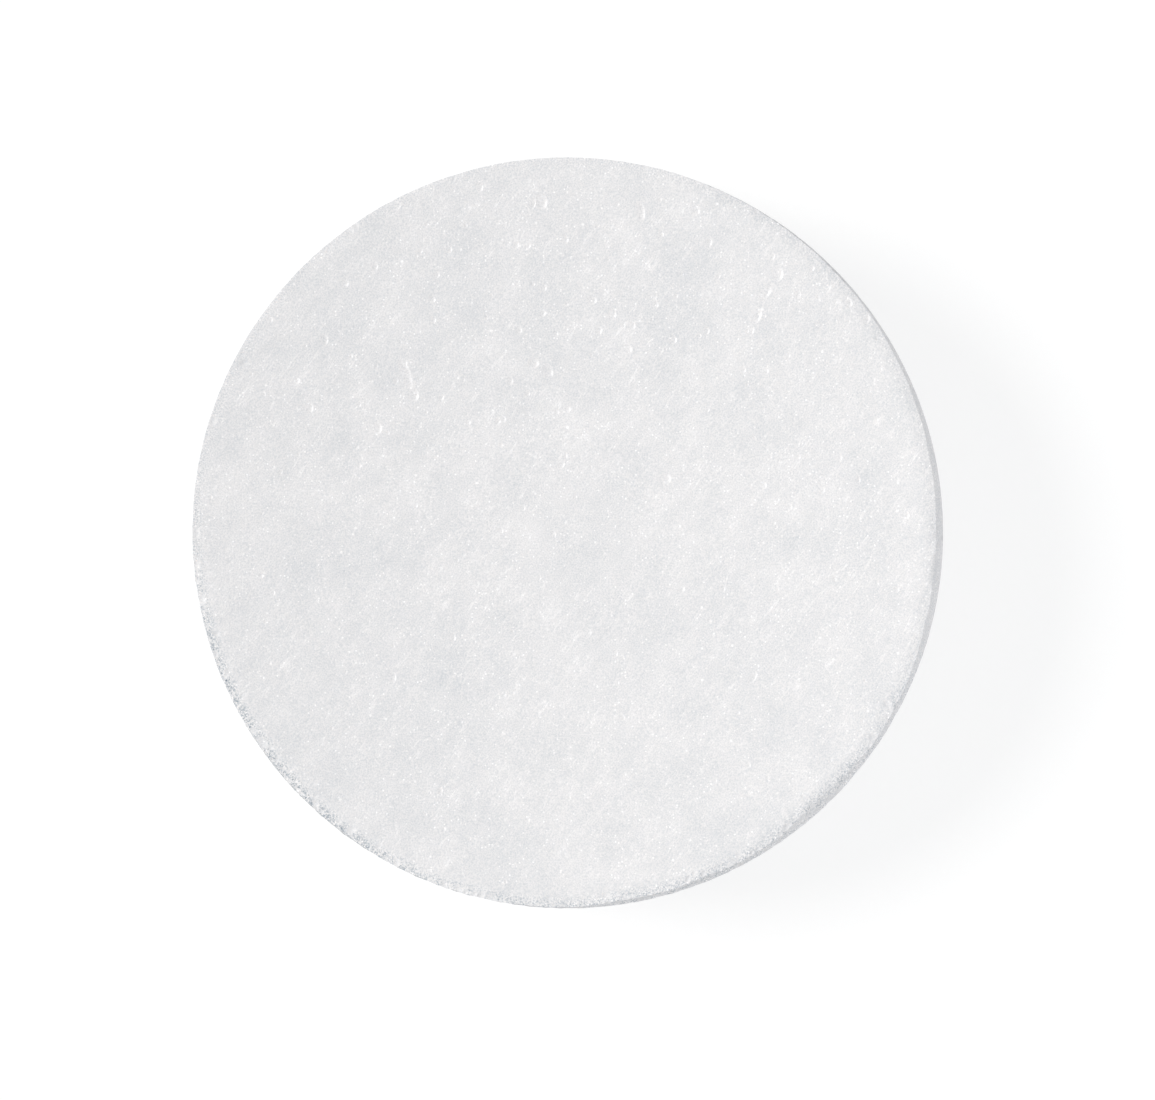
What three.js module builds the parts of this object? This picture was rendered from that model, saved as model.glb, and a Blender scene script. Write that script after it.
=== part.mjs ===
// A shaving soap puck: one round, solid cake of hard white soap, as it is dropped into a bowl or a mug.
// Millimetres, +Z up. The origin is the middle of the flat underside, so the puck stands on z = 0.
import * as THREE from "three";

// ---- Driving dimensions ----------------------------------------------------------------------
const PUCK_DIAMETER = 75; // across the widest place, just under the top edge
const PUCK_HEIGHT = 22; // from the underside up to the rim of the top face
const WALL_LEAN = 0.5; // how far the wall draws in towards the foot on each side, so the cake leaves its mould
const TOP_EDGE_RADIUS = 1.2; // worn round edge between the wall and the top face
const FOOT_EDGE_RADIUS = 0.9; // round edge between the underside and the wall
const RIM_WIDTH = 0.8; // level ring left around the dish
const DISH_DEPTH = 1.7; // how far the middle of the top face has sunk below the rim

// ---- Mesh fineness ---------------------------------------------------------------------------
const SEGMENTS_AROUND = 96;
const EDGE_STEPS = 5;
const DISH_STEPS = 12;

// ---- The look of plain white soap ------------------------------------------------------------
const SOAP_WHITE = 0xe7e8ea;
const SOAP_ROUGHNESS = 0.6;

// A quarter circle of the profile, from one angle to the other, both counted from straight out (+X).
function quarterArc(centreX, centreY, radius, fromAngle, toAngle) {
  const points = [];
  for (let step = 0; step <= EDGE_STEPS; step++) {
    const angle = THREE.MathUtils.lerp(fromAngle, toAngle, step / EDGE_STEPS);
    points.push(
      new THREE.Vector2(
        centreX + radius * Math.cos(angle),
        centreY + radius * Math.sin(angle),
      ),
    );
  }
  return points;
}

// The dish: a shallow bowl, deepest and level in the middle, as soap settles when it sets in a round mould.
function dishCurve(dishRadius, rimHeight) {
  const points = [];
  for (let step = 0; step <= DISH_STEPS; step++) {
    const share = 1 - step / DISH_STEPS; // 1 at the rim, 0 on the axis
    const sunk = DISH_DEPTH * (1 - share ** 2);
    points.push(new THREE.Vector2(dishRadius * share, rimHeight - sunk));
  }
  return points;
}

// The half section of the cake, from the middle of the underside out, up the wall and back to the axis.
function puckProfile() {
  const topRadius = PUCK_DIAMETER / 2;
  const footRadius = topRadius - WALL_LEAN;
  const dishRadius = topRadius - TOP_EDGE_RADIUS - RIM_WIDTH;
  return [
    new THREE.Vector2(0, 0),
    ...quarterArc(
      footRadius - FOOT_EDGE_RADIUS,
      FOOT_EDGE_RADIUS,
      FOOT_EDGE_RADIUS,
      -Math.PI / 2,
      0,
    ),
    ...quarterArc(
      topRadius - TOP_EDGE_RADIUS,
      PUCK_HEIGHT - TOP_EDGE_RADIUS,
      TOP_EDGE_RADIUS,
      0,
      Math.PI / 2,
    ),
    ...dishCurve(dishRadius, PUCK_HEIGHT),
  ];
}

// The whole cake is one body of soap, turned about its upright axis.
function soapPuck() {
  const turned = new THREE.LatheGeometry(puckProfile(), SEGMENTS_AROUND);
  turned.rotateX(Math.PI / 2); // the lathe turns about Y; the puck stands along Z
  const soap = new THREE.MeshStandardMaterial({
    color: SOAP_WHITE,
    roughness: SOAP_ROUGHNESS,
    metalness: 0,
  });
  const mesh = new THREE.Mesh(turned, soap);
  mesh.name = "soap_puck";
  return mesh;
}

const group = new THREE.Group();
group.name = "shaving_soap_puck";
group.add(soapPuck());

export default group;
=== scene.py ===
import math

import bpy
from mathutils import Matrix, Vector


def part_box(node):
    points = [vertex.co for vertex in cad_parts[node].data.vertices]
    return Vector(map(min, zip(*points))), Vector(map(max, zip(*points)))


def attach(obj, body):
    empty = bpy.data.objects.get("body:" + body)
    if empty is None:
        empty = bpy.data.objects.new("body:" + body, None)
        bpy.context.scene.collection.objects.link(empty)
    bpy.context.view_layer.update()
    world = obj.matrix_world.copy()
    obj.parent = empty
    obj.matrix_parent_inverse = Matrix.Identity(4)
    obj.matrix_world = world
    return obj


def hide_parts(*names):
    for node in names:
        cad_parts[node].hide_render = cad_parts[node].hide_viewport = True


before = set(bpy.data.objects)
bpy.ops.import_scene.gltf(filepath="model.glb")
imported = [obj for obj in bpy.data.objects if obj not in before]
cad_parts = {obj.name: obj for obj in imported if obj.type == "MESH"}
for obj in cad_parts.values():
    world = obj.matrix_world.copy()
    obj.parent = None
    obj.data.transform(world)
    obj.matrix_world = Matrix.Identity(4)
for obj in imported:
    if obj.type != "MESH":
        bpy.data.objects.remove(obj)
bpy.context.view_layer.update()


# ---- The blank: the cake as it leaves its mould ----------------------------------------------
# One body of hard, opaque white soap, poured into a round cup mould and knocked out when it has set.
# This is its plain form only: a flat top, a wall that leans in a little, a rounded foot, a flat base.
# The cells are finest where the eye goes, on the top and along the top edge.

MM = 0.001  # the script works in metres, so 0.8 * MM reads as 0.8 millimetres

mould_low, mould_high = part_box("soap_puck")
CAKE_RADIUS = (mould_high[0] - mould_low[0]) / 2
CAKE_HEIGHT = mould_high[2] - mould_low[2]
WALL_LEAN = 0.5 * MM
FOOT_ROUND = 0.9 * MM
TOP_CELLS = 184  # across the top face; four times as many points stand round its border
EDGE_ZONE = 3.2 * MM  # the fine rows just under the top face
EDGE_ROWS = 13
WALL_ROWS = 26
FOOT_ROWS = 5
BASE_STEP = 1.0 * MM
BASE_CELL = 0.5 * MM  # a ring of the base thins out when its cells get narrower than this
BASE_LAST = 1.5 * MM  # no ring of the base is smaller than this; a fan of faces closes the middle


def pressed_round(across, along):
    """A point of the square from -1 to 1, moved so that the square becomes a disc of even cells."""
    if abs(across) > abs(along):
        reach = across
        angle = math.pi / 4 * along / across
    elif along:
        reach = along
        angle = math.pi / 2 - math.pi / 4 * across / along
    else:
        return 0.0, 0.0
    return reach * math.cos(angle), reach * math.sin(angle)


def blank_rows():
    """The rings under the top face as (radius, height, may thin out), down the wall, over the base."""
    rows = []
    for row in range(1, EDGE_ROWS + 1):
        depth = EDGE_ZONE * row / EDGE_ROWS
        rows.append((CAKE_RADIUS - WALL_LEAN * depth / CAKE_HEIGHT, CAKE_HEIGHT - depth, False))
    wall_top = CAKE_HEIGHT - EDGE_ZONE
    for row in range(1, WALL_ROWS + 1):
        height = wall_top + (FOOT_ROUND - wall_top) * row / WALL_ROWS
        lean = WALL_LEAN * (1 - height / CAKE_HEIGHT)
        rows.append((CAKE_RADIUS - lean, height, row == 1))
    foot_centre = CAKE_RADIUS - WALL_LEAN - FOOT_ROUND
    for row in range(1, FOOT_ROWS + 1):
        angle = math.pi / 2 * row / FOOT_ROWS
        reach = foot_centre + FOOT_ROUND * math.cos(angle)
        rows.append((reach, FOOT_ROUND * (1 - math.sin(angle)), False))
    reach = foot_centre - BASE_STEP
    while reach > BASE_LAST:
        rows.append((reach, 0.0, True))
        reach -= BASE_STEP
    return rows


def ring_faces(upper, lower):
    """Faces between two rings, where the lower one has as many points or half as many."""
    faces = []
    count = len(upper)
    if len(lower) == count:
        for here in range(count):
            after = (here + 1) % count
            faces.append((upper[here], lower[here], lower[after], upper[after]))
        return faces
    for here in range(len(lower)):
        after = (here + 1) % len(lower)
        first, middle, last = upper[2 * here], upper[2 * here + 1], upper[(2 * here + 2) % count]
        faces.append((first, lower[here], middle))
        faces.append((middle, lower[here], lower[after]))
        faces.append((middle, lower[after], last))
    return faces


def make_blank(name):
    """One closed mesh: even cells on the top, then ring after ring to the middle of the base."""
    points = []
    faces = []
    for row in range(TOP_CELLS + 1):
        for column in range(TOP_CELLS + 1):
            x, y = pressed_round(2 * column / TOP_CELLS - 1, 2 * row / TOP_CELLS - 1)
            points.append((CAKE_RADIUS * x, CAKE_RADIUS * y, CAKE_HEIGHT))
    stride = TOP_CELLS + 1
    for row in range(TOP_CELLS):
        for column in range(TOP_CELLS):
            corner = row * stride + column
            faces.append((corner, corner + 1, corner + stride + 1, corner + stride))
    near = list(range(TOP_CELLS))
    right = [row * stride + TOP_CELLS for row in range(TOP_CELLS)]
    far = [TOP_CELLS * stride + column for column in range(TOP_CELLS, 0, -1)]
    left = [row * stride for row in range(TOP_CELLS, 0, -1)]
    ring = near + right + far + left
    bearings = [math.atan2(points[one][1], points[one][0]) for one in ring]
    for reach, height, may_thin in blank_rows():
        cell = math.tau * reach / len(ring)
        if may_thin and len(ring) % 2 == 0 and cell < BASE_CELL:
            bearings = bearings[::2]
        start = len(points)
        points.extend((reach * math.cos(a), reach * math.sin(a), height) for a in bearings)
        lower = list(range(start, len(points)))
        faces.extend(ring_faces(ring, lower))
        ring = lower
    middle = len(points)
    points.append((0.0, 0.0, 0.0))
    for here, one in enumerate(ring):
        faces.append((one, middle, ring[(here + 1) % len(ring)]))
    mesh = bpy.data.meshes.new(name)
    mesh.from_pydata(points, [], faces)
    mesh.update()
    blank = bpy.data.objects.new(name, mesh)
    bpy.context.scene.collection.objects.link(blank)
    return blank


cake = make_blank("soap_cake")
soap = bpy.data.materials.new("hard_white_soap")  # its colour and grain come further down


# ---- The form: settled top, rim and worn top edge --------------------------------------------
# As the soap sets, the middle of the poured face sinks into a shallow dish with slow swells in it.
# Handling has broken the top edge, hardly at all on the far side and the left, most at the near right.


def feed(socket, value):
    """Joins a socket to what feeds it, or sets its own number."""
    if isinstance(value, Field):
        value = value.socket
    if isinstance(value, bpy.types.NodeSocket):
        socket.id_data.links.new(value, socket)
    else:
        socket.default_value = value


def put(tree, kind, inputs=None, **settings):
    """A new node with its settings, and with its sockets fed by name or by number."""
    node = tree.nodes.new(kind)
    for name, value in settings.items():
        setattr(node, name, value)
    for name, value in (inputs or {}).items():
        feed(node.inputs[name], value)
    return node


class Field:
    """A number that varies over the soap: arithmetic on it adds the nodes that work it out."""

    def __init__(self, socket):
        self.socket = socket

    def work(self, operation, *terms, clamp=False):
        node = put(self.socket.id_data, "ShaderNodeMath", operation=operation, use_clamp=clamp)
        for socket, term in zip(node.inputs, (self, *terms)):
            feed(socket, term)
        return Field(node.outputs[0])

    def __add__(self, other):
        return self.work("ADD", other)

    def __sub__(self, other):
        return self.work("SUBTRACT", other)

    def __mul__(self, other):
        return self.work("MULTIPLY", other)

    def __truediv__(self, other):
        return self.work("DIVIDE", other)

    def __pow__(self, other):
        return self.work("POWER", other)

    def __rsub__(self, other):
        return self * -1 + other

    def __rtruediv__(self, other):
        return self ** -1 * other

    __radd__ = __add__
    __rmul__ = __mul__

    def clamp(self):
        return self.work("ADD", 0.0, clamp=True)

    def ramp(self, start, end):
        """0 where the number is at start, 1 at end, eased at both."""
        node = put(self.socket.id_data, "ShaderNodeMapRange", interpolation_type="SMOOTHSTEP")
        for name, value in (("Value", self), ("From Min", start), ("From Max", end)):
            feed(node.inputs[name], value)
        return Field(node.outputs[0])


def vector(tree, x=0.0, y=0.0, z=0.0):
    """Three numbers joined into one place or direction."""
    return put(tree, "ShaderNodeCombineXYZ", {"X": x, "Y": y, "Z": z}).outputs[0]


def parts_of(tree, value):
    """A place or direction taken apart into its three numbers."""
    return [Field(one) for one in put(tree, "ShaderNodeSeparateXYZ", {"Vector": value}).outputs]


def noise(tree, at, size, detail=2.0, roughness=0.5, shift=0.0):
    """Soft noise from -1 to 1 whose lumps are about size across."""
    inputs = {"Vector": at, "W": shift, "Scale": 1 / size, "Detail": detail, "Roughness": roughness}
    return Field(put(tree, "ShaderNodeTexNoise", inputs, noise_dimensions="4D").outputs[0]) * 2 - 1


def keep(tree, shape, name, value, domain="POINT"):
    """Stores a field on the shape under a name, and hands the shape on."""
    stored = put(tree, "GeometryNodeStoreNamedAttribute", {"Geometry": shape, "Name": name},
                 domain=domain, data_type="FLOAT")
    feed(stored.inputs["Value"], value)
    return stored.outputs[0]


def keep_vector(tree, shape, name, value):
    """Stores a direction on the shape, and hands back the shape and the direction read from it."""
    stored = put(tree, "GeometryNodeStoreNamedAttribute", {"Geometry": shape, "Name": name},
                 domain="POINT", data_type="FLOAT_VECTOR")
    feed(stored.inputs["Value"], value)
    back = put(tree, "GeometryNodeInputNamedAttribute", {"Name": name}, data_type="FLOAT_VECTOR")
    return stored.outputs[0], back.outputs[0]


def recall(tree, name):
    """A field that an earlier tree stored on the shape."""
    read = put(tree, "GeometryNodeInputNamedAttribute", {"Name": name}, data_type="FLOAT")
    return Field(read.outputs[0])


def start_tree(name, sizes):
    """A geometry tree with one named number input for each size; hands back the tree and its fields."""
    tree = bpy.data.node_groups.new(name, "GeometryNodeTree")
    tree.interface.new_socket("Geometry", in_out="INPUT", socket_type="NodeSocketGeometry")
    for label, value in sizes.items():
        kind = "NodeSocketInt" if isinstance(value, int) else "NodeSocketFloat"
        tree.interface.new_socket(label, in_out="INPUT", socket_type=kind)
    tree.interface.new_socket("Geometry", in_out="OUTPUT", socket_type="NodeSocketGeometry")
    outside = put(tree, "NodeGroupInput")
    given = {label: Field(outside.outputs[label]) for label in sizes}
    return tree, outside.outputs["Geometry"], given


def end_tree(tree, shape):
    """The tree's last steps: real geometry, all of it made of the soap."""
    real = put(tree, "GeometryNodeRealizeInstances", {"Geometry": shape}).outputs[0]
    finish = put(tree, "GeometryNodeSetMaterial", {"Geometry": real, "Material": soap})
    put(tree, "NodeGroupOutput", {"Geometry": finish.outputs[0]})


def shape_with(piece, tree, sizes):
    """Runs a tree on a piece and keeps the result as its plain mesh."""
    modifier = piece.modifiers.new(tree.name, "NODES")
    modifier.node_group = tree
    for socket in tree.interface.items_tree:
        if socket.item_type == "SOCKET" and socket.in_out == "INPUT" and socket.name in sizes:
            modifier[socket.identifier] = sizes[socket.name]
    seen = bpy.context.evaluated_depsgraph_get()
    shaped = bpy.data.meshes.new_from_object(piece.evaluated_get(seen), depsgraph=seen)
    piece.modifiers.remove(modifier)
    piece.data = shaped


def round_curve(tree, turn, heights):
    """A smooth curve round the cake, from heights (0 to 1) given by bearing in degrees."""
    node = put(tree, "ShaderNodeFloatCurve", {"Value": turn})
    curve = node.mapping.curves[0]
    for point, bearing in zip(curve.points, (0, 360)):
        point.location = (bearing / 360, heights[bearing])
    for bearing, height in heights.items():
        if 0 < bearing < 360:
            curve.points.new(bearing / 360, height)
    node.mapping.update()
    return Field(node.outputs[0])


# Each kind of wear, from 0 to 1, by bearing in degrees anticlockwise from +X, seen from above: how far
# the edge is broken back, how far the top rolls over to it, how crumbly it is and how rubbed it is.
# The crumbly and the rubbed stretches of the edge also get painted shade in the soap's colour.
BREAK_ROUND = {
    0: 0.94, 15: 0.66, 32: 0.40, 50: 0.28, 70: 0.12, 110: 0.06, 160: 0.06, 190: 0.12, 212: 0.20,
    230: 0.24, 250: 0.10, 270: 0.18, 285: 0.58, 300: 0.55, 315: 0.96, 328: 0.56, 343: 0.78, 360: 0.94,
}
ROLL_ROUND = {
    0: 0.80, 15: 0.75, 30: 0.85, 45: 0.60, 60: 0.75, 76: 0.12, 100: 0.0, 170: 0.0, 200: 0.15,
    235: 0.40, 265: 0.35, 290: 0.40, 315: 0.90, 330: 0.55, 345: 0.75, 360: 0.80,
}
# How crumbly the edge is, which also says where its colour is darkened as painted shade.
CRUMBLE_AND_SHADE_ROUND = {
    0: 0.08, 30: 0.12, 60: 0.30, 120: 0.25, 170: 0.35, 200: 0.85, 250: 0.8, 290: 1.0,
    325: 0.85, 345: 0.20, 360: 0.08,
}
# Where the edge is rubbed, and where its colour is darkened as painted shade.
CHAFE_AND_SHADE_ROUND = {
    0: 0.0, 90: 0.0, 150: 0.10, 180: 0.35, 200: 0.75, 228: 1.0, 245: 0.50, 262: 0.30, 300: 0.05,
    360: 0.0,
}

SETTLING_REACH = 3 * MM  # below the top by this much, the wall no longer sinks with it
BREAK_REACH = 6 * MM  # below this depth, nothing is drawn in with the broken edge
EDGE_STRIP = 5 * MM  # the strip of the top face that handling has reached
LONG_RAG = 4 * MM
SHORT_RAG = 1.1 * MM
THINNEST_BREAK = 0.05 * MM
BREAK_HOLLOW = 0.35  # the share of the break that curves; the rest of it is a straight slope
DISH_LIP = 0.12  # how softly the dish runs out into the level rim
CRUMBLE_STRIP = 1.2 * MM  # crumbs come loose this far in from the break, and further out below it
CRUMBLE_FOOT = (2.3 * MM, 1.1 * MM)  # depths between which the crumbling comes in, going up
CRUMBLE_STRAY = 0.9 * MM  # how much that wanders, in patches of the size below
CRUMBLE_PATCH = 1.7 * MM
OUTSIDE_SHARE = -0.4  # a distance outside the top line of the break counts for this much of itself
SKIM = 0.1 * MM  # the skin at the top that the blade passed over
AXIS = 0.01 * MM  # keeps a division by the distance from the axis in bounds

form_sizes = {
    "Radius": CAKE_RADIUS,
    "Height": CAKE_HEIGHT,
    "Break Width": 0.95 * MM,
    "Break Height": 1.35 * MM,
    "Ragged": 0.30 * MM,
    "Rounding Width": 1.5 * MM,
    "Rounding Drop": 0.30 * MM,
    "Dish Radius": 37.6 * MM,
    "Dish Depth": 1.7 * MM,
    "Swell": 0.07 * MM,
    "Swell Size": 15 * MM,
}

form, blank_shape, given = start_tree("settled_form", form_sizes)
place = put(form, "GeometryNodeInputPosition").outputs[0]
x, y, z = parts_of(form, place)
reach = (x * x + y * y).work("SQRT")
turn = (y.work("ARCTAN2", x) / math.tau).work("FRACT")
safe_reach = reach.work("MAXIMUM", AXIS)
on_rim = vector(form, x / safe_reach * given["Radius"], y / safe_reach * given["Radius"])
crumble = round_curve(form, turn, CRUMBLE_AND_SHADE_ROUND)
worn = round_curve(form, turn, BREAK_ROUND)
rag = noise(form, on_rim, LONG_RAG, detail=1.0) * (worn * 0.8 + 0.1)
rag = rag + noise(form, on_rim, SHORT_RAG, detail=2.0, shift=5.0) * crumble * worn
width = worn * given["Break Width"] + rag * given["Ragged"]
width = width.work("MAXIMUM", THINNEST_BREAK)
from_top = given["Height"] - z
near_top = 1 - (from_top / SETTLING_REACH).clamp()
down_break = (from_top / given["Break Height"]).clamp()
curved = (down_break * (math.pi / 2)).work("SINE")
draw_in = 1 - curved * BREAK_HOLLOW - down_break * (1 - BREAK_HOLLOW)
near_edge = reach.ramp(given["Radius"] - EDGE_STRIP, given["Radius"])
new_reach = reach - width * draw_in * near_edge * from_top.work("LESS_THAN", BREAK_REACH)
inside = given["Radius"] - width - new_reach
rounding = (1 - (inside / given["Rounding Width"]).clamp()) ** 2 * given["Rounding Drop"]
rounding = rounding * round_curve(form, turn, ROLL_ROUND)
bowl = ((reach / given["Dish Radius"]) ** 2).work("SMOOTH_MIN", 1.0, DISH_LIP)
dish = (1 - bowl) * given["Dish Depth"]
flat_place = vector(form, x, y)
swell = noise(form, flat_place, given["Swell Size"], detail=1.0, shift=2.0) * given["Swell"]
sink = (rounding + dish + swell * (1 - near_edge)) * near_top
scale_in = new_reach / safe_reach
moved = vector(form, x * scale_in, y * scale_in, z - sink)
off_break = inside.work("MAXIMUM", inside * OUTSIDE_SHARE)
stray = noise(form, place, CRUMBLE_PATCH, detail=2.0, roughness=0.6, shift=11.0) * CRUMBLE_STRAY
band = (1 - (off_break / CRUMBLE_STRIP).clamp()) * (from_top + stray).ramp(*CRUMBLE_FOOT)
kept = keep(form, blank_shape, "edge_band", band)
# These two bands also say where the edge's colour is darkened with painted shade.
kept = keep(form, kept, "crumbled", crumble * band)
kept = keep(form, kept, "chafed", (band * 1.5).clamp() * round_curve(form, turn, CHAFE_AND_SHADE_ROUND))
kept = keep(form, kept, "skimmed", near_top * (from_top / SKIM).ramp(1.0, 0.0))
formed = put(form, "GeometryNodeSetPosition", {"Geometry": kept, "Position": moved})
end_tree(form, formed.outputs[0])
shape_with(cake, form, form_sizes)


# ---- The marks of the mould and the rack -----------------------------------------------------
# The wall keeps the slight waviness and the upright draw lines of the mould that it slid out of.
# The top keeps slow lumps left by stirring and the faint print of the wire mesh it dried under,
# and both are lost towards the bottom of the dish, where no mesh pressed on the soft soap.

RACK_LINES = {25.5: 4.40 * MM, -45.0: 4.26 * MM}  # across-the-wire bearing in degrees: wire spacing
PRINT_LOST = 1.6 * MM  # depth in the dish at which the print and the lumps are gone
PRINT_COMES_IN = 1.2 * MM  # the height over which they come in above that
PRINT_STRIP = (1.0 * MM, 4.0 * MM)  # and they come in between these distances from the wall
PRINT_WANDER = 9 * MM
PRINT_PATCH = 14 * MM
PRINT_FADES = (26 * MM, -16 * MM)  # the mesh pressed harder on the left
WALL_WAVE_LENGTH = 7 * MM
DRAW_LINE_WIDTH = 0.04  # round the wall, as a share of the radius
DRAW_LINE_HEIGHT = 20 * MM  # how slowly a draw line changes on its way down
CRUMB = 0.8 * MM
BASE_WAVE_LENGTH = 5 * MM
BASE_STRIP = (1.4 * MM, 5 * MM)  # the base hollows slightly between these distances from the wall
FOOT_LEVELS = (0.6 * MM, 0.0)  # only the base is this low

mark_sizes = {
    "Radius": CAKE_RADIUS,
    "Height": CAKE_HEIGHT,
    "Print Depth": 0.012 * MM,
    "Lump Height": 0.016 * MM,
    "Lump Size": 3.0 * MM,
    "Wall Wave": 0.10 * MM,
    "Draw Line": 0.05 * MM,
    "Base Lift": 0.04 * MM,
    "Crumble": 0.22 * MM,
}

marks, formed_shape, given = start_tree("mould_and_rack_marks", mark_sizes)
place = put(marks, "GeometryNodeInputPosition").outputs[0]
x, y, z = parts_of(marks, place)
reach = (x * x + y * y).work("SQRT")
on_top = (z - (given["Height"] - PRINT_LOST)).ramp(0.0, PRINT_COMES_IN)
off_edge = reach.ramp(*(given["Radius"] - strip for strip in PRINT_STRIP))
wander = noise(marks, place, PRINT_WANDER, detail=1.0, shift=8.0) * 0.35
print_marks = 0.0
for across, spacing in RACK_LINES.items():
    run = x * math.cos(math.radians(across)) + y * math.sin(math.radians(across))
    wave = ((run / spacing + wander) * math.tau).work("COSINE") * 0.5 + 0.5
    print_marks = wave ** 2 + print_marks
patchy = noise(marks, place, PRINT_PATCH, detail=1.0, shift=3.0) * 0.5 + 0.75
fade_right = (x + y * 0.3).ramp(*PRINT_FADES) * 0.8 + 0.2
print_marks = print_marks * patchy * fade_right * given["Print Depth"]
lumps = noise(marks, place, given["Lump Size"], detail=2.0, shift=1.0) * given["Lump Height"]
up = (lumps - print_marks) * on_top * off_edge
below = (given["Height"] - z).ramp(EDGE_ZONE, BREAK_REACH)
safe_reach = reach.work("MAXIMUM", AXIS)
around = vector(marks, x / safe_reach, y / safe_reach, z / DRAW_LINE_HEIGHT)
waves = noise(marks, place, WALL_WAVE_LENGTH, detail=1.0, shift=4.0) * given["Wall Wave"]
lines = noise(marks, around, DRAW_LINE_WIDTH, detail=2.0, shift=6.0) * given["Draw Line"]
wall = z.ramp(0.0, 1.0 * MM) * below
out = (waves + lines) * wall
crumbs = noise(marks, place, CRUMB, detail=2.0, roughness=0.7, shift=9.0) - 0.25
crumbs = crumbs * recall(marks, "crumbled") * given["Crumble"]
out = out + crumbs
base = z.ramp(*FOOT_LEVELS) * reach.ramp(*(given["Radius"] - strip for strip in BASE_STRIP))
hollowed = noise(marks, place, BASE_WAVE_LENGTH, detail=2.0, shift=7.0) * 0.5 + 0.5
base_lift = hollowed * base * given["Base Lift"]
shift = vector(marks, x / safe_reach * out, y / safe_reach * out, up + base_lift + crumbs)
marked = put(marks, "GeometryNodeSetPosition", {"Geometry": formed_shape, "Offset": shift})
end_tree(marks, marked.outputs[0])
shape_with(cake, marks, mark_sizes)


# ---- The burst bubbles and the chipped edge --------------------------------------------------
# Air stirred into the soap rose and burst, so the top is pitted, more on its far half than the near.
# Each hollow is gentle on its left and steep on its right, as a blade drawn over the soap leaves it,
# and flakes have broken out of the brittle top edge where the cake has been handled most.

# The hollows that stand out: place across, place up, half width and half length, all in millimetres,
# and the bearing of the length in degrees.
BURSTS = [
    (-2.7, 33.0, 0.70, 0.85, 90), (-3.5, 32.9, 0.36, 0.60, 80),
    (7.2, 32.1, 0.50, 1.10, 100), (12.7, 32.2, 0.50, 0.60, 90),
    (14.0, 29.0, 0.40, 0.65, 80), (-0.3, 29.3, 0.40, 0.50, 90), (-5.2, 28.8, 0.35, 0.50, 90),
    (-4.0, 28.7, 0.30, 0.45, 90), (-11.9, 28.3, 0.40, 0.45, 90), (-19.3, 26.6, 0.40, 0.60, 95),
    (-22.2, 24.9, 0.40, 0.50, 90), (-13.1, 25.8, 0.35, 0.45, 90), (-13.6, 23.3, 0.40, 0.45, 90),
    (-2.5, 24.5, 0.40, 0.50, 90), (2.4, 23.3, 0.50, 0.60, 100), (4.4, 21.8, 0.45, 0.55, 75),
    (8.7, 22.8, 0.35, 0.45, 90), (-4.9, 20.3, 0.35, 0.50, 90), (5.9, 18.4, 0.55, 0.55, 90),
    (10.4, 19.3, 0.50, 0.50, 60), (-24.3, 19.3, 0.45, 0.65, 95), (-29.7, 21.3, 0.35, 0.45, 90),
    (-3.5, 17.0, 0.65, 0.60, 90), (-2.0, 16.2, 0.55, 0.80, 105), (-5.8, 15.2, 0.35, 0.45, 90),
    (-6.5, 11.4, 0.35, 0.40, 90), (-0.1, 12.4, 0.40, 0.45, 90), (-25.8, 12.5, 0.45, 0.65, 90),
    (-19.0, 10.5, 0.45, 0.70, 95), (-8.8, 34.5, 0.40, 0.60, 90), (9.8, 5.5, 0.50, 0.70, 95),
    (19.5, 4.8, 0.35, 0.45, 90), (25.3, 4.3, 0.35, 0.50, 80), (17.4, 16.3, 0.40, 0.45, 90),
    (19.7, 16.2, 0.35, 0.40, 90), (13.8, 20.2, 0.35, 0.45, 90), (22.9, 23.8, 0.35, 0.45, 90),
    (27.9, 22.9, 0.45, 0.55, 85), (29.7, 21.3, 0.40, 0.60, 75), (-11.5, -10.4, 0.35, 0.55, 90),
    (-17.5, -14.4, 0.40, 0.65, 90), (-29.5, -5.9, 0.35, 0.45, 90), (18.4, -14.4, 0.40, 0.80, 60),
    (15.4, -5.5, 0.35, 0.45, 90), (4.7, -12.0, 0.30, 0.45, 90), (-0.7, 6.8, 0.35, 0.55, 60),
    (-16.2, 16.0, 0.50, 1.75, 110), (-15.4, 13.8, 0.55, 0.70, 95), (-17.2, 15.2, 0.30, 0.40, 70),
    (20.9, 25.9, 0.60, 0.85, 90), (20.3, 27.6, 0.35, 0.45, 85), (19.6, 23.9, 0.50, 0.95, 52),
    (18.8, 21.7, 0.50, 0.90, 72), (18.2, 20.2, 0.40, 0.60, 80),
]

pit_sizes = {
    "Depth": 0.28,
    "Small Depth": 0.38,
    "Sunk": 0.015,
    "Smallest": 0.17 * MM,
    "Largest": 0.36 * MM,
    "Apart": 2.0 * MM,
    "Per Square Metre": 90000.0,
    "Seed": 11,
    "Flake Smallest": 0.16 * MM,
    "Flake Largest": 0.70 * MM,
    "Flakes Apart": 0.42 * MM,
    "Flakes Per Square Metre": 2200000.0,
    "Flake Seed": 4,
    "Lip Angle": math.radians(38),
}

LARGE_CELLS = (18, 12)  # round and down the ball that opens a hollow
SMALL_CELLS = (10, 8)
STEEP_END = 0.50  # a hollow reaches its depth this far in from its border, as a share of its half width
FAR_SIDE = (-30 * MM, 22 * MM)  # the small hollows grow more frequent between these, going away
WALL_SHARE = 0.30
BASE_SHARE = 0.04
FLAKE_SHAPE = (1.3, 0.9, 0.55)
FLAKE_RAISED = 0.34  # the ball that breaks a flake out stands off the soap by this share of its size
RAY_START = (0.0, 0.0, 0.1)  # well above the cake
DOWN = (0.0, 0.0, -1.0)


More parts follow.
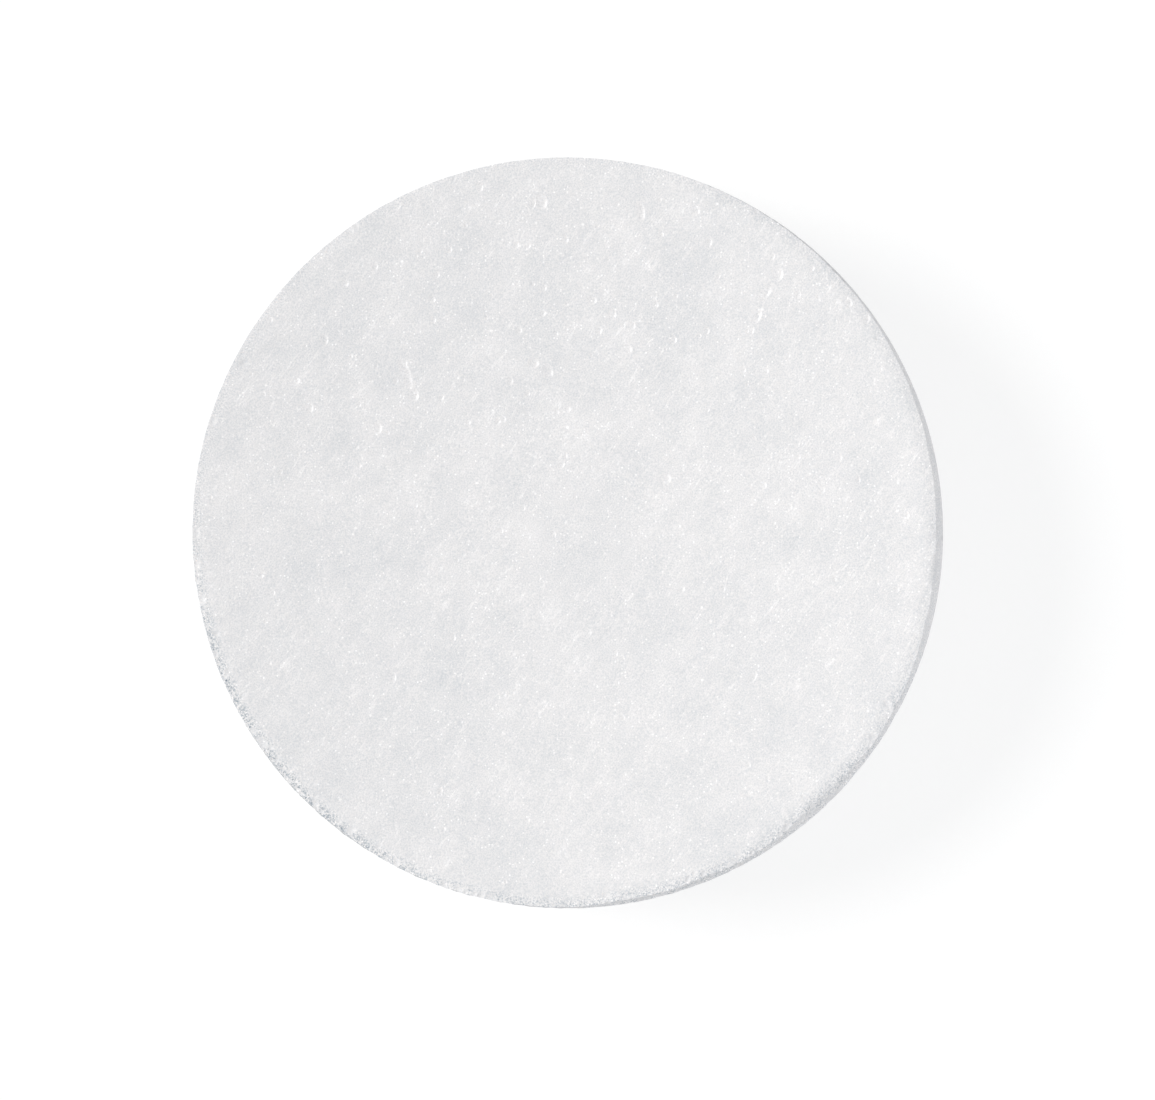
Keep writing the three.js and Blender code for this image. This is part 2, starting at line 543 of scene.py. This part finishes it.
def burst_points(name):
    """A loose point for each hollow that stands out, with its half widths and its turn kept on it."""
    mesh = bpy.data.meshes.new(name)
    mesh.from_pydata([(across * MM, up * MM, 0.0) for across, up, *rest in BURSTS], [], [])
    halves = mesh.attributes.new("halves", "FLOAT_VECTOR", "POINT")
    for kept, (_, _, wide, long, bearing) in zip(halves.data, BURSTS):
        kept.vector = (wide * MM, long * MM, math.radians(bearing - 90))
    points = bpy.data.objects.new(name, mesh)
    bpy.context.scene.collection.objects.link(points)
    return points


def random_number(tree, low, high, seed):
    """A number by chance for each point, the same in every run."""
    node = put(tree, "FunctionNodeRandomValue", {2: low, 3: high, "Seed": seed}, data_type="FLOAT")
    return Field(node.outputs["Value"])


def scatter(tree, shape, share, apart, per_area, seed):
    """Points thrown on the shape by chance, none nearer to another than apart."""
    inputs = {"Mesh": shape, "Distance Min": apart, "Density Max": per_area, "Seed": seed}
    thrown = put(tree, "GeometryNodeDistributePointsOnFaces", inputs, distribute_method="POISSON")
    feed(thrown.inputs["Density Factor"], share)
    return thrown


def lift(tree, points, along, by):
    """Moves points along a direction by a distance."""
    step = put(tree, "ShaderNodeVectorMath", {0: along, "Scale": by}, operation="SCALE").outputs[0]
    return put(tree, "GeometryNodeSetPosition", {"Geometry": points, "Offset": step}).outputs[0]


def hollow_tool(tree, cells, depth):
    """A ball pressed into a hollow's shape: it deepens to the right and ends there in a short wall."""
    around, down = cells
    ball_sizes = {"Segments": around, "Rings": down, "Radius": 1.0}
    ball = put(tree, "GeometryNodeMeshUVSphere", ball_sizes).outputs["Mesh"]
    x, y, z = parts_of(tree, put(tree, "GeometryNodeInputPosition").outputs[0])
    inside = 1 - (x * x + y * y).work("SQRT")
    sunk = inside.ramp(0.0, STEEP_END) * (x * 0.5 + 0.5) * depth
    above = z.work("GREATER_THAN", 0.001)
    place = vector(tree, x, y, z * above * 0.5 - sunk * (1 - above))
    pressed = put(tree, "GeometryNodeSetPosition", {"Geometry": ball, "Position": place}).outputs[0]
    return keep(tree, pressed, "burst_skin", 1.0, domain="FACE")


def facing_out(tree, normal, turn):
    """A turn about the upright that is then laid over until the upright is the normal."""
    upright = put(tree, "FunctionNodeEulerToRotation", {"Euler": vector(tree, z=turn)}).outputs[0]
    inputs = {"Rotation": upright, "Vector": normal}
    laid = put(tree, "FunctionNodeAlignRotationToVector", inputs, axis="Z", pivot_axis="AUTO")
    return laid.outputs[0]


def stamp(tree, points, tool, rotation, scale):
    """A copy of the tool on each point, turned and scaled."""
    inputs = {"Points": points, "Instance": tool, "Rotation": rotation, "Scale": scale}
    return put(tree, "GeometryNodeInstanceOnPoints", inputs).outputs[0]


marked_by = burst_points("burst_places")
pits, marked_shape, given = start_tree("bubbles_and_flakes", pit_sizes)
facing = parts_of(pits, put(pits, "GeometryNodeInputNormal").outputs[0])
x, y, z = parts_of(pits, put(pits, "GeometryNodeInputPosition").outputs[0])
on_top = facing[2].ramp(0.8, 0.95)
on_wall = facing[2].work("ABSOLUTE").ramp(0.5, 0.2)
on_base = facing[2].ramp(-0.8, -0.95)
band = recall(pits, "edge_band")

# The hollows that stand out drop straight onto the top face.
chosen = put(pits, "GeometryNodeObjectInfo", {"Object": marked_by}).outputs["Geometry"]
here = put(pits, "GeometryNodeInputPosition").outputs[0]
above = put(pits, "ShaderNodeVectorMath", {0: here, 1: RAY_START}, operation="ADD").outputs[0]
fall = put(pits, "GeometryNodeRaycast",
           {"Target Geometry": marked_shape, "Source Position": above, "Ray Direction": DOWN})
landing = {"Geometry": chosen, "Position": fall.outputs["Hit Position"]}
landed = put(pits, "GeometryNodeSetPosition", landing).outputs[0]
halves = put(pits, "GeometryNodeInputNamedAttribute", {"Name": "halves"}, data_type="FLOAT_VECTOR")
wide, long, turn = parts_of(pits, halves.outputs[0])
lowered = lift(pits, landed, DOWN, wide * given["Sunk"])
with_normal, hit_normal = keep_vector(pits, lowered, "hit_normal", fall.outputs["Hit Normal"])
large = stamp(pits, with_normal, hollow_tool(pits, LARGE_CELLS, given["Depth"]),
              facing_out(pits, hit_normal, turn), vector(pits, wide, long, wide))

# The small ones come by chance, on every side, but hardly any on the wall and the base.
far_side = y.ramp(*FAR_SIDE) * 0.75 + 0.25
share = (on_top * far_side + on_wall * WALL_SHARE + on_base * BASE_SHARE) * (1 - (band * 3).clamp())
spread = scatter(pits, marked_shape, share, given["Apart"], given["Per Square Metre"], given["Seed"])
chance = random_number(pits, 0.0, 1.0, 21) ** 2.2
size = given["Smallest"] * (given["Largest"] / given["Smallest"]) ** chance
sprinkled = lift(pits, spread.outputs["Points"], spread.outputs["Normal"], size * given["Sunk"] * -1)
small = stamp(pits, sprinkled, hollow_tool(pits, SMALL_CELLS, given["Small Depth"]),
              facing_out(pits, spread.outputs["Normal"], random_number(pits, -0.6, 0.6, 22)),
              vector(pits, size, size * random_number(pits, 0.9, 1.6, 23), size))

# Flakes leave shell-shaped chips in the top edge, and a few in the foot.
foot = z.ramp(1.2 * MM, 0.4 * MM) * (1 - on_base)
chips = scatter(pits, marked_shape, recall(pits, "crumbled") + band * 0.06 + foot * 0.03,
                given["Flakes Apart"], given["Flakes Per Square Metre"], given["Flake Seed"])
chance = random_number(pits, 0.0, 1.0, 31) ** 2.5
flake = given["Flake Smallest"] * (given["Flake Largest"] / given["Flake Smallest"]) ** chance
out_of = lift(pits, chips.outputs["Points"], chips.outputs["Normal"], flake * FLAKE_RAISED)
rock = put(pits, "GeometryNodeMeshIcoSphere", {"Radius": 1.0, "Subdivisions": 2}).outputs["Mesh"]
chipped = stamp(pits, out_of, keep(pits, rock, "chip_skin", 1.0, domain="FACE"),
                facing_out(pits, chips.outputs["Normal"], random_number(pits, 0.0, math.tau, 32)),
                vector(pits, *(flake * side for side in FLAKE_SHAPE)))

# All of them are cut out of the cake at once, and their lips stay sharp.
opened = put(pits, "GeometryNodeMeshBoolean", operation="DIFFERENCE", solver="MANIFOLD")
feed(opened.inputs["Mesh 1"], marked_shape)
for tools in (large, small, chipped):
    feed(opened.inputs["Mesh 2"], tools)
angle = Field(put(pits, "GeometryNodeInputMeshEdgeAngle").outputs["Unsigned Angle"])
lips = angle.work("GREATER_THAN", given["Lip Angle"])
smooth = {"Geometry": opened.outputs["Mesh"], "Shade Smooth": True}
soft = put(pits, "GeometryNodeSetShadeSmooth", smooth, domain="FACE")
sharp = {"Geometry": soft.outputs[0], "Shade Smooth": False, "Selection": lips}
crisp = put(pits, "GeometryNodeSetShadeSmooth", sharp, domain="EDGE")
end_tree(pits, crisp.outputs[0])
shape_with(cake, pits, pit_sizes)
bpy.data.objects.remove(marked_by)


# ---- The soap itself -------------------------------------------------------------------------
# Opaque white hard soap: nearly neutral, matt, faintly see-through at thin lips. It holds a fine grain,
# the hair lines of the blade that was drawn across it, and pale flecks of salt, whose paleness is
# partly painted glints that stand in for the sparkle of the crystals.

DRAWN = math.radians(57)  # bearing of the hair lines
WHITE = (0.815, 0.802, 0.806)
COOLER = (0.16, -0.02, -0.16)  # how much faster red, green and blue fall away where the soap is darker
PLAIN_TONE = 0.958
CLOUD_SIZE = 17 * MM
MOTTLE_SIZE = 4.5 * MM
GRAIN_SIZE = 0.16 * MM
MOULD_LINE_WIDTH = 0.45 * MM
PATCH = (1.3 * MM, 2.8 * MM)  # across and along the way the blade was drawn, as are the next two
HAIR = (0.32 * MM, 2.6 * MM)
HAIR_TUFT = (0.5 * MM, 1.5 * MM)
HAIR_THINNESS = 9
HAIR_FIELD = 9 * MM  # the hairs come and go over this distance
MOULD_LINE_STRETCH = 0.04  # a mould line is its width divided by this long
LIP_DEPTHS = (0.4 * MM, 1.3 * MM)  # the crumbly lip grows paler and more speckled from one to the other

soap.use_nodes = True
nodes = soap.node_tree
bsdf = nodes.nodes["Principled BSDF"]
at = put(nodes, "ShaderNodeTexCoord").outputs["Object"]
x, y, z = parts_of(nodes, at)


def stored(name):
    """A field that the geometry trees left on the cake."""
    return Field(put(nodes, "ShaderNodeAttribute", attribute_name=name).outputs["Fac"])


def drawn_noise(size, shift):
    """Noise whose lumps are stretched the way the blade was drawn."""
    width, length = size
    along = (x * math.cos(DRAWN) + y * math.sin(DRAWN)) * (width / length)
    across = y * math.cos(DRAWN) - x * math.sin(DRAWN)
    return noise(nodes, vector(nodes, along, across, z), width, detail=1.0, shift=shift)


def flecks(apart, widest, rarest):
    """Pale dots, one at most in each cell of a loose packing, no two alike in size."""
    cell = put(nodes, "ShaderNodeTexVoronoi", {"Vector": at, "Scale": 1 / apart, "Randomness": 1.0})
    lot = parts_of(nodes, cell.outputs["Color"])[0]
    return Field(cell.outputs["Distance"]).ramp(widest, widest * 0.3) * lot.ramp(rarest, 1.0) ** 2


crumbled = stored("crumbled")
chafed = stored("chafed")
skimmed = stored("skimmed")
chip = stored("chip_skin")
burst = stored("burst_skin")

cloud = noise(nodes, at, CLOUD_SIZE, detail=1.0, shift=2.0)
mottle = noise(nodes, at, MOTTLE_SIZE, detail=3.0, roughness=0.62, shift=1.0)
grain = noise(nodes, at, GRAIN_SIZE, detail=1.0, roughness=0.7, shift=3.0)
patch = drawn_noise(PATCH, 6.0)
worked = patch.ramp(-0.45, 0.45)
hairs = 1 - (drawn_noise(HAIR, 4.0).work("ABSOLUTE") * HAIR_THINNESS).clamp()
hairs = hairs * drawn_noise(HAIR_TUFT, 7.0).ramp(-0.1, 0.4) * (worked * 0.8 + 0.6)
hair_here = noise(nodes, at, HAIR_FIELD, detail=1.0, shift=5.0).ramp(-0.5, 0.5) * 0.7 + 0.3
hairs = hairs * hair_here * skimmed
# Pale flecks of salt, partly painted glints standing in for the sparkle of crystals.
fine_flecks_and_glints = flecks(apart=0.34 * MM, widest=0.36, rarest=0.30) * (worked + 0.5)
flecks_and_glints = fine_flecks_and_glints + flecks(apart=1.5 * MM, widest=0.14, rarest=0.45)
upright = vector(nodes, x, y, z * MOULD_LINE_STRETCH)
mould_lines = noise(nodes, upright, MOULD_LINE_WIDTH, detail=2.0, shift=8.0) * (1 - skimmed)
lip = z.ramp(*(CAKE_HEIGHT - depth for depth in LIP_DEPTHS))

# What each mark adds to the tone of the soap, or takes from it, where it is at its strongest.
tone = cloud * 0.030 + mottle * 0.082 + patch * 0.050 + grain * 0.24 + hairs * 0.15 + flecks_and_glints * 0.27
# Painted shade: the crumbled edge is darkened, most at its top, standing in for the shade among its
# crumbs; its speckle is the soap's own grain.
tone = tone + crumbled * (grain * (lip * 0.35 + 0.60) + lip * 0.04 - 0.05)
# Painted shade: the rubbed stretch of the edge on the near left is darkened, with a speckle of grain in
# it.
tone = tone + burst * 0.050 + chafed * (grain * 0.45 - 0.09)
tone = tone + mould_lines * 0.03 + PLAIN_TONE
darker = tone.work("MINIMUM", 1.0)
red, green, blue = (darker ** fall * tone * part for fall, part in zip(COOLER, WHITE))
feed(bsdf.inputs["Base Color"], vector(nodes, red, green, blue))

# Crumbs and chips are dry and rough; the skin of a burst bubble is smoother than the soap round it.
roughness = 0.52 + grain * 0.15 + mottle * 0.05 + crumbled * 0.2 + chip * 0.1 - burst * 0.22
feed(bsdf.inputs["Roughness"], roughness)

# Heights in millimetres.
calm = 1 - burst * 0.8
relief = (grain * 0.012 + hairs * 0.010 + flecks_and_glints * 0.010) * calm + mottle * 0.006 + mould_lines * 0.008
relief = relief + (crumbled + chafed) * grain * 0.035
bump = put(nodes, "ShaderNodeBump", {"Strength": 1.0, "Distance": MM, "Height": relief})
feed(bsdf.inputs["Normal"], bump.outputs[0])

# A little light passes through the soap, which softens its lips and pits.
bsdf.inputs["Subsurface Weight"].default_value = 0.2
bsdf.inputs["Subsurface Radius"].default_value = (1.0, 0.95, 0.9)
bsdf.inputs["Subsurface Scale"].default_value = 0.5 * MM
bsdf.inputs["IOR"].default_value = 1.45

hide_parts("soap_puck")
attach(cake, "root")


# ---- The table and the light -----------------------------------------------------------------
# The cake lies on a plain white table. A broad soft lamp stands high on its left, a small dim one low
# on its right, and the white walls of the room light it evenly from all round.

TABLE_HALF = 3.0  # metres
TABLE_GAP = 0.02 * MM  # keeps the table just clear of the base of the cake
TABLE_CORNERS = ((-1, -1), (1, -1), (1, 1), (-1, 1))
KEY_BEARING = math.radians(167)
KEY_RISE = math.radians(44)
FILL_PLACE = (0.22, -0.11, 0.15)
CAMERA_PLACE = (0.955 * MM, -1.68 * MM, 0.597)


def show(name, data):
    """Puts a mesh, a lamp or a camera into the scene."""
    thing = bpy.data.objects.new(name, data)
    bpy.context.scene.collection.objects.link(thing)
    return thing


table_mesh = bpy.data.meshes.new("table_top")
corners = [(TABLE_HALF * across, TABLE_HALF * up, 0) for across, up in TABLE_CORNERS]
table_mesh.from_pydata(corners, [], [(0, 1, 2, 3)])
floor = show("table_top", table_mesh)
floor.location.z = -TABLE_GAP

# Seen directly, the table is a darker paint that glows, which keeps it white and its shadow faint.
table_white = bpy.data.materials.new("white_table")
table_white.use_nodes = True
table_mesh.materials.append(table_white)
paint = table_white.node_tree.nodes["Principled BSDF"]
paint.inputs["Roughness"].default_value = 0.9
paint.inputs["Emission Color"].default_value = (1, 1, 1, 1)
by_eye = Field(put(table_white.node_tree, "ShaderNodeLightPath").outputs["Is Camera Ray"])
feed(paint.inputs["Base Color"], 0.82 - by_eye * 0.54)
feed(paint.inputs["Emission Strength"], by_eye * 0.735)

key = bpy.data.lights.new("key", "SUN")
key.energy = 2.12
key.color = (1.0, 0.985, 0.955)
key.angle = math.radians(28)
across = math.cos(KEY_BEARING) * math.cos(KEY_RISE)
up = math.sin(KEY_BEARING) * math.cos(KEY_RISE)
towards_key = Vector((across, up, math.sin(KEY_RISE)))
show("key", key).rotation_euler = towards_key.to_track_quat("Z", "Y").to_euler()

fill = bpy.data.lights.new("fill", "AREA")
fill.shape = "DISK"
fill.size = 0.3
fill.energy = 0.21
fill_lamp = show("fill", fill)
fill_lamp.location = FILL_PLACE
fill_lamp.rotation_euler = fill_lamp.location.to_track_quat("Z", "Y").to_euler()

# The walls light the soap gently, and are white where they are seen directly.
world = bpy.data.worlds.new("studio")
world.use_nodes = True
bpy.context.scene.world = world
walls = world.node_tree
walls.nodes["Background"].inputs["Color"].default_value = (0.945, 0.972, 1.0, 1)
by_eye = Field(put(walls, "ShaderNodeLightPath").outputs["Is Camera Ray"])
feed(walls.nodes["Background"].inputs["Strength"], by_eye * 0.62 + 0.52)

lens = bpy.data.cameras.new("camera")
lens.lens = 180
lens.sensor_width = 36
lens.clip_end = 20
camera = show("camera", lens)
camera.location = CAMERA_PLACE
bpy.context.scene.camera = camera
bpy.context.scene.view_settings.view_transform = "Standard"
